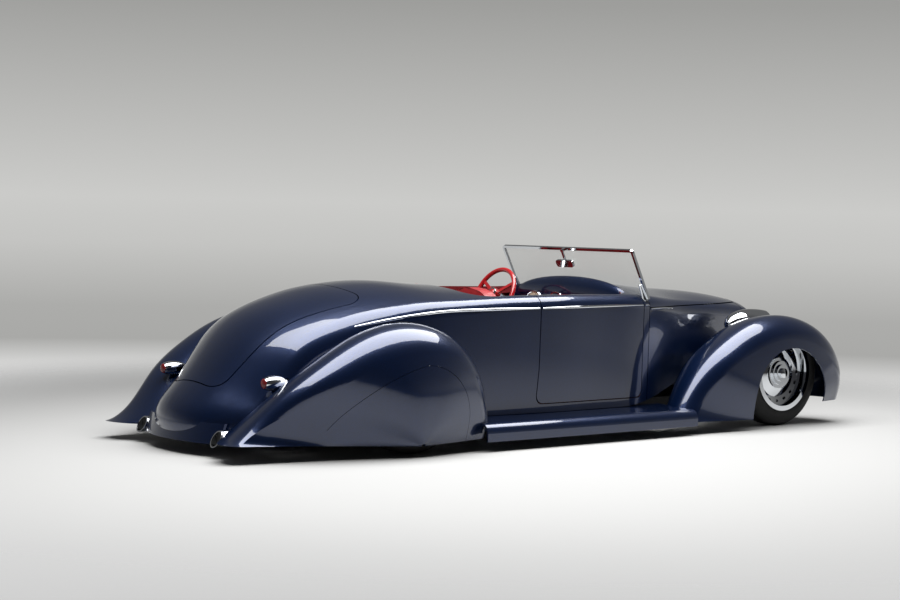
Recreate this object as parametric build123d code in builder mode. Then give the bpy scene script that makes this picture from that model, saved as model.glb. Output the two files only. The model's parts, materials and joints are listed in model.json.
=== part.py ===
# A low open hot rod: long-tailed body, pontoon fenders, skirted rear wheels.
# X points forward, Y to the driver's left, Z up, in millimetres.
# The origin is on the ground, at the middle of the car's length and width.
import os
from math import asin, cos, degrees, radians, sin

from build123d import *

# Driving dimensions of the whole car
wheelbase = 2845.0
front_overhang = 527.5
rear_overhang = 1087.5
panel_gap = 6.0
reach = 1000.0

# Wheels and tyres
tyre_radius = 325.0
tyre_half_width = 85.0
tyre_bore = 212.0
tyre_bead_half = 74.0
tread_half_width = 55.0
shoulder_drop = 30.0
rim_lip_radius = 233.0
rim_lip = 8.0
rim_wall = 8.0
wheel_slots = 16
front_track_half = 680.0
rear_track_half = 672.0
spindle_radius = 20.0
running_clearance = 0.5

# Sheet thicknesses
body_wall = 38.0
fender_wall = 10.0
plate = 20.0

# Axle places, from the wheelbase and the overhangs
front_axle_x = (front_overhang + wheelbase + rear_overhang) / 2 - front_overhang
rear_axle_x = front_axle_x - wheelbase
axle_z = tyre_radius

# The tail fans out round a crosswise line, and each fender round another
tail_pivot_x = rear_axle_x - 357.5
tail_fan_length = 1021.0
body_datum = 100.0
floor_z = body_datum + 60.0
floor_play = 1.2
front_fan_x = front_axle_x
rear_fan_x = rear_axle_x - 57.5
fan_z = 60.0
fan_root = 14.0
root_overrun = 6.0
fan_overrun = 0.8

# Panel lines of the body
door_rear_x = -205.0
door_kick = 16.0
door_kick_z = 400.0
door_front_x = 648.0
door_sill_z = 206.0
door_corner = 45.0
hood_rear_x = 702.0
hood_front_x = 1890.0
hood_line_z = 738.0
nose_x = 1962.0
nose_z = 710.0
nose_tilt = 15.0
cockpit_rear_x = -600.0
cockpit_front_x = 560.0
cockpit_half = 560.0
cockpit_rear_corner = 160.0
cockpit_front_corner = 120.0
lid_tilt = 32.0
lid_x = -1665.0
lid_z = 600.0
lid_front = 480.0
lid_rear = 470.0
lid_front_half = 430.0
lid_rear_half = 230.0
lid_corner = 110.0
lid_depth = 140.0

# Inside the body
cockpit_floor_z = 420.0
shelf_z = 400.0
bulkhead_x = -640.0
tub_radius = 362.0
tub_inner_y = 522.0
tub_wall = 12.0
axle_hole = 70.0
well_half = 485.0
well_rear_x = -1850.0

# Frame
rail_inner_y = 325.0
rail_outer_y = 385.0
rail_bottom_z = 78.0
rail_top_z = 175.0
rail_front_x = 1880.0
rail_rear_x = -1580.0

# Exhaust
pipe_radius = 30.0
pipe_y = 440.0
pipe_z = 112.0
pipe_front_x = 640.0
tip_radius = 42.0
tip_wall = 6.0
tip_y = 383.0
tip_z = 98.0
tip_x = -2136.0
tip_length = 150.0
tip_slant = 28.0
tip_clearance = 2.0

# Room round a pin in its hole
hinge_play = 0.3


def radial_plane(pivot_x, pivot_z, angle):
    """Plane through a crosswise line, its second axis at an angle up from +X."""
    return Plane(
        origin=(pivot_x, 0, pivot_z),
        x_dir=(0, 1, 0),
        z_dir=(sin(radians(angle)), 0, -cos(radians(angle))),
    )


def body_arch(plane, floor, base, corner, crown, radius):
    """Closed arch: straight sides, one arc over the top, rounded shoulders."""
    half, rise = corner
    with BuildSketch(plane) as section:
        with BuildLine():
            ThreePointArc((-half, rise), (0, crown), (half, rise))
            Polyline((half, rise), (base, floor), (-base, floor), (-half, rise))
        make_face()
        fillet(section.vertices().group_by(Axis.Y)[-1], radius)
    return section.sketch


def fender_arch(plane, root, inner_foot, inner_corner, crown, outer_corner, outer_foot):
    """Closed arch of four arcs, each tangent to the next, on a straight foot."""
    with BuildSketch(plane) as section:
        with BuildLine():
            inner_top = TangentArc(crown, inner_corner, tangent=(-1, 0))
            TangentArc(inner_corner, (inner_foot, root), tangent=inner_top % 1)
            outer_top = TangentArc(crown, outer_corner, tangent=(1, 0))
            TangentArc(outer_corner, (outer_foot, root), tangent=outer_top % 1)
            Line((inner_foot, root), (outer_foot, root))
        make_face()
    return section.sketch


def blend(rows, station):
    """Row of sizes at a station, on a smooth curve through the rows of a table."""
    last = len(rows) - 1
    i = max(k for k in range(last) if rows[k][0] <= station or k == 0)
    before, start, end, after = rows[max(i - 1, 0)], rows[i], rows[i + 1], rows[min(i + 2, last)]
    span = end[0] - start[0]
    t = (station - start[0]) / span
    sizes = []
    for a, b, c, d in zip(before[1:], start[1:], end[1:], after[1:]):
        leave = (c - a) / (end[0] - before[0]) * span
        arrive = (d - b) / (after[0] - start[0]) * span
        cubic = 2 * b - 2 * c + leave + arrive
        square = -3 * b + 3 * c - 2 * leave - arrive
        sizes.append(((cubic * t + square) * t + leave) * t + b)
    return sizes


def block(x, y, z):
    """A box between two places along each axis."""
    with BuildPart() as made:
        with Locations(((x[0] + x[1]) / 2, (y[0] + y[1]) / 2, (z[0] + z[1]) / 2)):
            Box(x[1] - x[0], y[1] - y[0], z[1] - z[0])
    return made.part


def bar(start, end, radius):
    """A round bar between two points."""
    line = Vector(end) - Vector(start)
    with BuildPart() as made:
        with BuildSketch(Plane(origin=start, z_dir=line)):
            Circle(radius)
        extrude(amount=line.length)
    return made.part


def pair(piece):
    """A left piece with its mirror image on the right."""
    return [piece, mirror(piece, about=Plane.XZ)]


def save(piece, name):
    """Label a finished piece and write it."""
    piece.label = name
    export_step(piece, f"parts/{name}.step")
    print(name, round(piece.volume / 1000), "cm3", len(piece.solids()), "solids")


def save_pair(piece, name):
    """Write a left piece and its mirror image on the right."""
    save(piece, f"{name}_left")
    save(mirror(piece, about=Plane.XZ), f"{name}_right")


os.makedirs("parts", exist_ok=True)

# Body sizes along its length, heights over the body datum.
# Columns: station, floor, half width at the floor, half width at the shoulder,
# shoulder height, crown height, shoulder radius
body_rows = [
    (tail_pivot_x - tail_fan_length, 60, 545, 430, 470, 690, 150),
    (tail_pivot_x - tail_fan_length * 0.75, 60, 555, 455, 420, 632, 150),
    (tail_pivot_x - tail_fan_length * 0.5, 60, 565, 480, 420, 605, 150),
    (tail_pivot_x - tail_fan_length * 0.25, 60, 572, 505, 485, 645, 150),
    (tail_pivot_x, 60, 585, 535, 545, 705, 150),
    (-1100, 60, 610, 600, 645, 780, 110),
    (-600, 60, 620, 632, 690, 762, 80),
    (-100, 60, 628, 645, 708, 750, 70),
    (300, 60, 614, 630, 706, 758, 72),
    (650, 75, 588, 597, 695, 772, 80),
    (1150, 190, 440, 445, 645, 735, 90),
    (1600, 230, 310, 325, 615, 703, 90),
    (1860, 215, 245, 255, 588, 668, 85),
    (2110, 180, 185, 195, 520, 590, 80),
]
body_stations = 19


def body_solid(inset):
    """The body's outer form, or its hollow when inset by the wall."""
    first, last = body_rows[0][0], body_rows[-1][0]
    faces = []
    for k in range(body_stations):
        station = first + (last - first) * k / (body_stations - 1)
        floor, base, shoulder, rise, crown, radius = blend(body_rows, station)
        turn = max(0, tail_pivot_x - station) / tail_fan_length * 90
        place = radial_plane(max(station, tail_pivot_x), body_datum + inset, 90 + turn)
        corner = (shoulder - inset, rise - 2 * inset)
        faces.append(body_arch(place, floor, base - inset, corner, crown - 2 * inset, radius - inset))
    with BuildPart() as solid:
        loft(sections=faces)
    return solid.part


body_outer = body_solid(0)
body_inner = body_solid(body_wall)

with BuildPart() as shell:
    add(body_outer)
    add(body_inner, mode=Mode.SUBTRACT)

# Cockpit opening, seen from above
with BuildPart() as cockpit_cut:
    with BuildSketch(Plane.XY.offset(cockpit_floor_z)) as plan:
        with Locations(((cockpit_rear_x + cockpit_front_x) / 2, 0)):
            Rectangle(cockpit_front_x - cockpit_rear_x, 2 * cockpit_half)
        fillet(plan.vertices().group_by(Axis.X)[0], cockpit_rear_corner)
        fillet(plan.vertices().group_by(Axis.X)[-1], cockpit_front_corner)
    extrude(amount=reach)


def door_prism(gap):
    """The left door's outline, cut crosswise through the wall."""
    with BuildPart() as prism:
        with BuildSketch(Plane.XZ.offset(-cockpit_half + body_wall)) as side:
            with BuildLine():
                Polyline(
                    (door_rear_x + gap, reach), (door_rear_x + gap, door_kick_z),
                    (door_rear_x - door_kick + gap, door_sill_z + gap),
                    (door_front_x - gap, door_sill_z + gap), (door_front_x - gap, reach), close=True,
                )
            make_face()
            fillet(side.vertices().group_by(Axis.Y)[0], door_corner)
        extrude(amount=-reach)
    return prism.part


def lid_prism(gap):
    """The deck lid's outline, cut square to the slope of the deck."""
    slope = Plane(
        origin=(lid_x, 0, lid_z),
        x_dir=(0, 1, 0),
        z_dir=(-sin(radians(lid_tilt)), 0, cos(radians(lid_tilt))),
    )
    with BuildPart() as prism:
        with BuildSketch(slope.offset(-lid_depth)) as outline:
            with BuildLine():
                Polyline(
                    (gap - lid_front_half, gap - lid_front), (lid_front_half - gap, gap - lid_front),
                    (lid_rear_half - gap, lid_rear - gap), (gap - lid_rear_half, lid_rear - gap),
                    close=True,
                )
            make_face()
            fillet(outline.vertices(), lid_corner - gap)
        extrude(amount=reach)
    return prism.part


def wheel_space(radius, inner_y, axle_radius):
    """Room for the left rear wheel, with a hole for the axle."""
    with BuildPart() as space:
        add(bar((rear_axle_x, inner_y, axle_z), (rear_axle_x, reach, axle_z), radius))
        if axle_radius:
            add(bar((rear_axle_x, inner_y - body_wall, axle_z), (rear_axle_x, reach, axle_z), axle_radius))
    return space.part


tip_space = bar(
    (well_rear_x + plate, tip_y, tip_z), (tip_x - reach, tip_y, tip_z), tip_radius + tip_clearance
)

with BuildPart() as inner_walls:
    add(block((well_rear_x - plate, bulkhead_x), (-reach, reach), (shelf_z, shelf_z + plate)))
    add(block((bulkhead_x, bulkhead_x + plate), (-reach, reach), (0, reach)))
    add(block((hood_rear_x - plate, hood_rear_x), (-reach, reach), (0, reach)))
    add(body_inner, mode=Mode.INTERSECT)

with BuildPart() as wheel_tub:
    add(wheel_space(tub_radius + tub_wall, tub_inner_y - tub_wall, 0))
    add(body_outer, mode=Mode.INTERSECT)

with BuildPart() as body_shell:
    add(shell.part)
    add(inner_walls.part)
    add(pair(wheel_tub.part))
    add(block((hood_rear_x, 3 * reach), (-reach, reach), (0, reach)), mode=Mode.SUBTRACT)
    add(block((well_rear_x, bulkhead_x), (-well_half, well_half), (0, shelf_z)), mode=Mode.SUBTRACT)
    add(pair(tip_space), mode=Mode.SUBTRACT)
    add(cockpit_cut.part, mode=Mode.SUBTRACT)
    add(lid_prism(0), mode=Mode.SUBTRACT)
    add(pair(door_prism(0)), mode=Mode.SUBTRACT)
    add(pair(wheel_space(tub_radius, tub_inner_y, axle_hole)), mode=Mode.SUBTRACT)
save(body_shell.part, "body_shell")

with BuildPart() as door:
    add(shell.part)
    add(door_prism(panel_gap), mode=Mode.INTERSECT)
    add(cockpit_cut.part, mode=Mode.SUBTRACT)
save_pair(door.part, "door")

with BuildPart() as deck_lid:
    add(shell.part)
    add(lid_prism(panel_gap), mode=Mode.INTERSECT)
save(deck_lid.part, "deck_lid")

with BuildPart() as nose:
    add(shell.part)
    add(block((hood_rear_x + panel_gap, 3 * reach), (-reach, reach), (0, reach)), mode=Mode.INTERSECT)
    split(bisect_by=radial_plane(nose_x, nose_z, 90 + nose_tilt), keep=Keep.BOTTOM)

with BuildPart() as hood_top:
    add(nose.part)
    add(block((0, hood_front_x), (-reach, reach), (hood_line_z, reach)), mode=Mode.INTERSECT)
save(hood_top.part, "hood_top")

# The hood sides end at a slanting line on each side, open to the frame below
bay_rear_x = 600.0
bay_rear_half = 520.0
bay_front_x = 2000.0
bay_front_half = 160.0
bay_height = 320.0
with BuildPart() as hood_side:
    add(nose.part)
    add(block((0, hood_front_x), (0, reach), (0, hood_line_z - panel_gap)), mode=Mode.INTERSECT)
    with BuildSketch(Plane.XY.offset(body_datum)):
        Polygon(
            (bay_rear_x, -reach), (bay_rear_x, bay_rear_half), (bay_front_x, bay_front_half),
            (bay_front_x, -reach), align=None,
        )
    extrude(amount=bay_height, mode=Mode.SUBTRACT)
save_pair(hood_side.part, "hood_side")

with BuildPart() as grille_shell:
    add(nose.part)
    add(block((hood_front_x + panel_gap, 3 * reach), (-reach, reach), (0, reach)), mode=Mode.INTERSECT)
save(grille_shell.part, "grille_shell")

# Upright grille bars, joined by cross rails and ending on the shell's inner face
bar_count = 13
bar_pitch = 26.0
bar_half = 5.0
bar_recess = 12.0
bar_depth = 24.0
grille_rail_z = (370.0, 520.0, 640.0)
with BuildPart() as grille_bars:
    for k in range(bar_count):
        y = (k - (bar_count - 1) / 2) * bar_pitch
        add(block((hood_front_x, 3 * reach), (y - bar_half, y + bar_half), (0, reach)))
    for z in grille_rail_z:
        add(block((hood_front_x, 3 * reach), (-reach, reach), (z - bar_half, z + bar_half)))
    add(body_inner, mode=Mode.INTERSECT)
    split(bisect_by=radial_plane(nose_x - bar_recess, nose_z, 90 + nose_tilt), keep=Keep.BOTTOM)
    bars_rear_x = nose_x - bar_recess - bar_depth
    split(bisect_by=radial_plane(bars_rear_x, nose_z, 90 + nose_tilt), keep=Keep.TOP)
save(grille_bars.part, "grille_bars")

# Fender sizes round its fan. Columns: angle up from +X, crown radius, crown place across,
# inner corner across and its drop from the crown, outer corner across and its drop,
# inner foot and outer foot across
front_fender_rows = [
    (2, 500, 690, 400, 200, 800, 100, 320, 862),
    (22, 567, 705, 330, 250, 845, 125, 230, 880),
    (45, 604, 725, 300, 260, 876, 138, 220, 887),
    (88, 621, 730, 290, 240, 884, 140, 230, 888),
    (120, 668, 735, 360, 230, 884, 135, 310, 888),
    (145, 757, 745, 450, 200, 882, 125, 420, 888),
    (163, 865, 750, 520, 160, 872, 110, 480, 888),
    (179, 946, 755, 580, 130, 860, 100, 530, 888),
]
rear_fender_rows = [
    (1, 515, 725, 600, 80, 820, 80, 570, 872),
    (30, 560, 718, 560, 100, 862, 115, 530, 880),
    (60, 618, 705, 500, 115, 880, 130, 470, 886),
    (90, 628, 700, 460, 135, 885, 135, 430, 888),
    (115, 634, 700, 450, 150, 880, 135, 425, 888),
    (140, 682, 690, 440, 185, 846, 130, 410, 886),
    (160, 792, 650, 390, 230, 768, 105, 350, 884),
    (178, 1030, 600, 400, 180, 675, 66, 300, 880),
]
fender_stations = 10


def fender_solid(rows, pivot_x, inset, overrun):
    """A left fender's outer form, or its hollow when inset by the sheet."""
    first, last = rows[0][0], rows[-1][0]
    faces = []
    root = fan_root - root_overrun if inset else fan_root
    for k in range(fender_stations):
        share = k / (fender_stations - 1)
        sizes = blend(rows, first + (last - first) * share)
        crown, across, inner, inner_drop, outer, outer_drop, inner_foot, outer_foot = sizes
        angle = first - overrun + (last - first + 2 * overrun) * share
        faces.append(
            fender_arch(
                radial_plane(pivot_x, fan_z, angle), root, inner_foot + inset,
                (inner + inset, crown - inner_drop - inset / 2), (across, crown - inset),
                (outer - inset, crown - outer_drop), outer_foot - inset,
            )
        )
    with BuildPart() as solid:
        loft(sections=faces)
    return solid.part


front_outer = fender_solid(front_fender_rows, front_fan_x, 0, 0)
rear_outer = fender_solid(rear_fender_rows, rear_fan_x, 0, 0)

# Front wheel opening: a round top over straight sides, and a raised front lip
arch_x = front_axle_x - 57.5
arch_z = 155.0
arch_radius = 335.0
lip_z = 145.0
apron_z = 430.0
apron_half = 560.0
apron_front_x = hood_front_x + 110.0
with BuildPart() as wheel_opening:
    with BuildSketch(Plane.XZ.offset(-front_track_half)) as opening:
        with Locations((arch_x, arch_z)):
            Circle(arch_radius)
        with Locations((arch_x, arch_z / 2)):
            Rectangle(2 * arch_radius, arch_z)
    extrude(amount=-reach)
    add(block((arch_x, 3 * reach), (0, reach), (0, lip_z)))
    add(block((hood_rear_x, apron_front_x), (0, apron_half), (0, apron_z)))

with BuildPart() as front_fender:
    add(front_outer)
    add(fender_solid(front_fender_rows, front_fan_x, fender_wall, fan_overrun), mode=Mode.SUBTRACT)
    add(body_outer, mode=Mode.SUBTRACT)
    add(wheel_opening.part, mode=Mode.SUBTRACT)
save_pair(front_fender.part, "front_fender")

with BuildPart() as rear_sheet:
    add(rear_outer)
    add(fender_solid(rear_fender_rows, rear_fan_x, fender_wall, fan_overrun), mode=Mode.SUBTRACT)
    add(body_outer, mode=Mode.SUBTRACT)
    add(tip_space, mode=Mode.SUBTRACT)
    add(
        block((well_rear_x - plate, bulkhead_x), (0, rear_track_half), (0, floor_z + plate / 4)),
        mode=Mode.SUBTRACT,
    )

# Skirt outline, a long sweep behind the wheel and a short one ahead
skirt_front_x = rear_axle_x + 256.0
skirt_top_x = rear_axle_x - 48.0
skirt_top_z = 479.0
skirt_rear_x = rear_axle_x - 650.0
skirt_front_z = 199.0
skirt_rear_z = 40.0
skirt_gap = 2.0
front_bow_x = skirt_front_x - 95.0
front_bow_z = 394.0
rear_bow_x = skirt_rear_x + 297.0
rear_bow_z = 363.0


def skirt_prism(gap):
    """The left skirt's outline, cut crosswise through the fender's side."""
    with BuildPart() as prism:
        with BuildSketch(Plane.XZ.offset(-rear_track_half - tyre_half_width)):
            with BuildLine():
                Polyline(
                    (skirt_rear_x + gap, skirt_rear_z), (skirt_rear_x + gap, 0),
                    (skirt_front_x - gap, 0), (skirt_front_x - gap, skirt_front_z),
                )
                ThreePointArc(
                    (skirt_front_x - gap, skirt_front_z), (front_bow_x - gap, front_bow_z - gap),
                    (skirt_top_x, skirt_top_z - gap),
                )
                ThreePointArc(
                    (skirt_top_x, skirt_top_z - gap), (rear_bow_x + gap, rear_bow_z - gap),
                    (skirt_rear_x + gap, skirt_rear_z),
                )
            make_face()
        extrude(amount=-reach)
    return prism.part


with BuildPart() as rear_cut:
    add(rear_sheet.part)
    add(skirt_prism(0), mode=Mode.SUBTRACT)

with BuildPart() as rear_fender:
    add(rear_cut.solids().sort_by(SortBy.VOLUME)[-1])
save_pair(rear_fender.part, "rear_fender")

with BuildPart() as fender_skirt:
    add(rear_sheet.part)
    add(skirt_prism(skirt_gap), mode=Mode.INTERSECT)
save_pair(fender_skirt.part, "fender_skirt")

# Running board: a flat top, a rolled edge and an inner flange under the sill
board_outer_y = 885.0
board_inner_y = 560.0
board_top_z = 150.0
board_bottom_z = 55.0
board_wall = 12.0
board_roll = 52.0
board_rear_x = rear_fan_x + 430.0
board_front_x = front_fan_x - 880.0
with BuildPart() as running_board:
    with BuildSketch(Plane.YZ.offset(board_rear_x)) as section:
        with BuildLine():
            Polyline(
                (board_inner_y, floor_z - floor_play), (board_outer_y, board_top_z),
                (board_outer_y, board_bottom_z), (board_outer_y - board_wall, board_bottom_z),
                (board_outer_y - board_wall, board_top_z - board_wall),
                (board_inner_y, floor_z - board_wall), close=True,
            )
        make_face()
        outer_corner = section.vertices().sort_by_distance((board_outer_y, board_top_z, 0))[0]
        fillet(outer_corner, board_roll)
        inner_corner = section.vertices().sort_by_distance(
            (board_outer_y - board_wall, board_top_z - board_wall, 0)
        )[0]
        fillet(inner_corner, board_roll - board_wall)
    extrude(amount=board_front_x - board_rear_x)
    add(front_outer, mode=Mode.SUBTRACT)
    add(rear_outer, mode=Mode.SUBTRACT)
save_pair(running_board.part, "running_board")

# Tail pan: a bowed, leaning band under the body's tail, between the fenders
pan_bottom_z = 68.0
pan_top_z = 172.0
pan_lean = 35.0
pan_wall = 14.0
pan_end_x = -2120.0
pan_middle_x = -2206.0
pan_half = tip_y


def pan_band(height, lean):
    """Plan of the pan at one height."""
    rear_end, rear_middle = pan_end_x + lean, pan_middle_x + lean
    with BuildSketch(Plane.XY.offset(height)) as band:
        with BuildLine():
            ThreePointArc((rear_end, -pan_half), (rear_middle, 0), (rear_end, pan_half))
            Line((rear_end, pan_half), (rear_end + pan_wall, pan_half))
            ThreePointArc(
                (rear_end + pan_wall, pan_half), (rear_middle + pan_wall, 0),
                (rear_end + pan_wall, -pan_half),
            )
            Line((rear_end + pan_wall, -pan_half), (rear_end, -pan_half))
        make_face()
    return band.sketch


with BuildPart() as rear_pan:
    loft(sections=[pan_band(pan_bottom_z, 0), pan_band(pan_top_z, pan_lean)])
    add(body_outer, mode=Mode.SUBTRACT)
    add(pair(rear_outer), mode=Mode.SUBTRACT)
    add(pair(tip_space), mode=Mode.SUBTRACT)
save(rear_pan.part, "rear_pan")

# Exhaust: a pipe under each side of the floor, out through the pan to a slanted tip
hanger_half = 12.0
hanger_length = 36.0
hanger_places = (-560.0, -200.0)
bend_front_x = -1640.0
bend_rear_x = -1840.0
bend_radius = 200.0
with BuildPart() as hangers:
    for hanger_x in hanger_places:
        add(
            block(
                (hanger_x, hanger_x + hanger_length), (pipe_y - hanger_half, pipe_y + hanger_half),
                (pipe_z, floor_z - floor_play),
            )
        )

with BuildPart() as exhaust:
    with BuildLine() as route:
        FilletPolyline(
            (pipe_front_x, pipe_y, pipe_z), (bend_front_x, pipe_y, pipe_z), (bend_rear_x, tip_y, tip_z),
            (tip_x + tip_length / 2, tip_y, tip_z), radius=bend_radius,
        )
    with BuildSketch(Plane(origin=route.line @ 0, z_dir=route.line % 0)):
        Circle(pipe_radius)
    sweep(path=route.line)
    add(bar((tip_x + tip_length, tip_y, tip_z), (tip_x - tip_radius, tip_y, tip_z), tip_radius))
    add(
        bar(
            (tip_x + tip_radius, tip_y, tip_z), (tip_x - 2 * tip_radius, tip_y, tip_z),
            tip_radius - tip_wall,
        ),
        mode=Mode.SUBTRACT,
    )
    split(bisect_by=radial_plane(tip_x, tip_z, 90 - tip_slant), keep=Keep.TOP)
    add(hangers.part)
save_pair(exhaust.part, "exhaust")

# Frame: two rails, crossmembers and a post for the grille, trimmed to the underside of the body
crossmember_x = (rail_rear_x + 50.0, rear_axle_x + 300.0, 400.0, front_axle_x + 100.0)
crossmember_half = 40.0
crossmember_top_z = rail_bottom_z + 60.0
post_front_x = hood_front_x + 60.0
post_depth = 40.0
post_half = 60.0
with BuildPart() as chassis_frame:
    add(pair(block((rail_rear_x, rail_front_x), (rail_inner_y, rail_outer_y), (rail_bottom_z, rail_top_z))))
    for x in crossmember_x:
        member = (x - crossmember_half, x + crossmember_half)
        add(block(member, (-rail_outer_y, rail_outer_y), (rail_bottom_z, crossmember_top_z)))
    post = (-post_half, post_half)
    add(block((crossmember_x[-1], post_front_x), post, (rail_bottom_z, crossmember_top_z)))
    add(block((post_front_x - post_depth, post_front_x), post, (rail_bottom_z, hood_line_z)))
    add(body_outer, mode=Mode.SUBTRACT)
save(chassis_frame.part, "chassis_frame")

# Engine: one plain block on two side mounts, with the gearbox behind it
engine_rear_x = 930.0
engine_front_x = 1540.0
engine_half = 195.0
engine_bottom_z = 200.0
engine_top_z = 640.0
engine_corner = 60.0
gearbox_z = 330.0
gearbox_radius = 120.0
mount_x = 1230.0
mount_half = 50.0
mount_top_z = rail_top_z + 60.0
with BuildPart() as engine_block:
    engine_sides = (-engine_half, engine_half)
    add(block((engine_rear_x, engine_front_x), engine_sides, (engine_bottom_z, engine_top_z)))
    fillet(engine_block.edges().filter_by(Axis.X).group_by(Axis.Z)[-1], engine_corner)
    gearbox_rear_x = hood_rear_x + 2 * panel_gap
    add(bar((engine_rear_x, 0, gearbox_z), (gearbox_rear_x, 0, gearbox_z), gearbox_radius))
    mounts = (mount_x - mount_half, mount_x + mount_half)
    add(block(mounts, (-rail_outer_y, rail_outer_y), (rail_top_z, mount_top_z)))
save(engine_block.part, "engine_block")

# Fuel tank, resting on the rails behind the axle
tank_rear_x = rear_axle_x - 640.0
tank_front_x = rear_axle_x - 260.0
tank_corner = 45.0
with BuildPart() as fuel_tank:
    add(block((tank_rear_x, tank_front_x), (-rail_outer_y, rail_outer_y), (rail_top_z, shelf_z - plate)))
    fillet(fuel_tank.edges().filter_by(Axis.Y), tank_corner)
save(fuel_tank.part, "fuel_tank")

# Rear axle: tube, housing and spindles, on a spring at each rail
axle_tube = 38.0
housing_radius = 70.0
housing_width = 150.0
spring_radius = 23.0
spindle_end = 34.0
with BuildPart() as rear_axle:
    add(bar((rear_axle_x, -tub_inner_y, axle_z), (rear_axle_x, tub_inner_y, axle_z), axle_tube))
    for side in (-1, 1):
        root = (rear_axle_x, side * tub_inner_y, axle_z)
        add(bar(root, (rear_axle_x, side * (rear_track_half + spindle_end), axle_z), spindle_radius))
        spring_y = side * (rail_inner_y + rail_outer_y) / 2
        add(bar((rear_axle_x, spring_y, rail_top_z), (rear_axle_x, spring_y, axle_z), spring_radius))
    with Locations((rear_axle_x, 0, axle_z)):
        Cylinder(housing_radius, housing_width, rotation=(90, 0, 0))
save(rear_axle.part, "rear_axle")

# Front axle: a dropped beam with an eye and a kingpin at each end
kingpin_y = 600.0
kingpin_radius = 12.0
eye_radius = 26.0
eye_half = 35.0
ear_gap = 1.0
ear_thick = 26.0
beam_half = 22.0
beam_drop = 85.0
beam_flat_y = 420.0
pad_half = 30.0
with BuildPart() as front_axle:
    with BuildSketch(Plane.YZ.offset(front_axle_x - beam_half)):
        with BuildLine():
            Polyline(
                (-kingpin_y, axle_z - beam_half), (-beam_flat_y, axle_z - beam_drop - beam_half),
                (beam_flat_y, axle_z - beam_drop - beam_half), (kingpin_y, axle_z - beam_half),
                (kingpin_y, axle_z + beam_half), (beam_flat_y, axle_z - beam_drop + beam_half),
                (-beam_flat_y, axle_z - beam_drop + beam_half), (-kingpin_y, axle_z + beam_half),
                close=True,
            )
        make_face()
    extrude(amount=2 * beam_half)
    for side in (-1, 1):
        y = side * kingpin_y
        add(bar((front_axle_x, y, axle_z - eye_half), (front_axle_x, y, axle_z + eye_half), eye_radius))
        pin_half = eye_half + ear_gap + ear_thick
        add(bar((front_axle_x, y, axle_z - pin_half), (front_axle_x, y, axle_z + pin_half), kingpin_radius))
        pad = sorted((side * rail_inner_y, side * rail_outer_y))
        add(block((front_axle_x - pad_half, front_axle_x + pad_half), pad, (rail_top_z, axle_z - beam_drop)))
save(front_axle.part, "front_axle")

# Steering knuckle: two ears on the kingpin, an upright, a spindle and an arm straight behind the pin
upright_y = kingpin_y + eye_radius + 8.0
upright_thick = 14.0
upright_half = 32.0
arm_length = 130.0
arm_z = axle_z - eye_half - ear_gap - ear_thick
arm_pin_radius = 9.0
arm_boss = 18.0
arm_thick = 10.0
arm_half = 12.0
arm_pin_length = 40.0
with BuildPart() as knuckle:
    for direction in (-1, 1):
        low = axle_z + direction * (eye_half + ear_gap)
        high = low + direction * ear_thick
        add(bar((front_axle_x, kingpin_y, low), (front_axle_x, kingpin_y, high), eye_radius))
        ear_x = (front_axle_x - eye_radius, front_axle_x + eye_radius)
        add(block(ear_x, (kingpin_y, upright_y + upright_thick), sorted((low, high))))
    ears_half = eye_half + ear_gap + ear_thick
    add(
        block(
            (front_axle_x - upright_half, front_axle_x + upright_half),
            (upright_y, upright_y + upright_thick),
            (axle_z - ears_half, axle_z + ears_half),
        )
    )
    add(
        bar(
            (front_axle_x, upright_y, axle_z), (front_axle_x, front_track_half + spindle_end, axle_z),
            spindle_radius,
        )
    )
    arm_level = (arm_z, arm_z + arm_thick)
    arm_side = (kingpin_y - arm_half, kingpin_y + arm_half)
    add(block((front_axle_x - arm_length, front_axle_x), arm_side, arm_level))
    arm_end = (front_axle_x - arm_length, kingpin_y)
    add(bar((*arm_end, arm_z), (*arm_end, arm_z + arm_thick), arm_boss))
    add(bar((*arm_end, arm_z - arm_pin_length), (*arm_end, arm_z), arm_pin_radius))
    add(
        bar(
            (front_axle_x, kingpin_y, 0), (front_axle_x, kingpin_y, reach),
            kingpin_radius + hinge_play,
        ),
        mode=Mode.SUBTRACT,
    )
save_pair(knuckle.part, "knuckle")

# Tie rod between the two arm pins
rod_radius = 11.0
rod_z = arm_z - 22.0
rod_eye_half = 15.0
with BuildPart() as tie_rod:
    add(bar((arm_end[0], -kingpin_y, rod_z), (arm_end[0], kingpin_y, rod_z), rod_radius))
    for side in (-1, 1):
        y = side * kingpin_y
        add(bar((arm_end[0], y, rod_z - rod_eye_half), (arm_end[0], y, rod_z + rod_eye_half), arm_boss))
    for side in (-1, 1):
        hole = ((arm_end[0], side * kingpin_y, 0), (arm_end[0], side * kingpin_y, reach))
        add(bar(*hole, arm_pin_radius + hinge_play), mode=Mode.SUBTRACT)
save(tie_rod.part, "tie_rod")


# Wheel: a barrel with a turned-out lip, a dished face with slots, a stepped cone cap
face_out = 40.0
cap_steps = ((96, 52), (74, 64), (52, 76), (30, 88))
cap_tip = 96.0
lip_seat = tyre_bead_half + 6.0
dish_radius = 150.0
dish_depth = 14.0
web_thick = 14.0
spindle_room = spindle_end + 2.0
hub_radius = 44.0
slot_radius = 176.0
slot_length = 26.0
slot_width = 15.0
slot_room = 20.0


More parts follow.
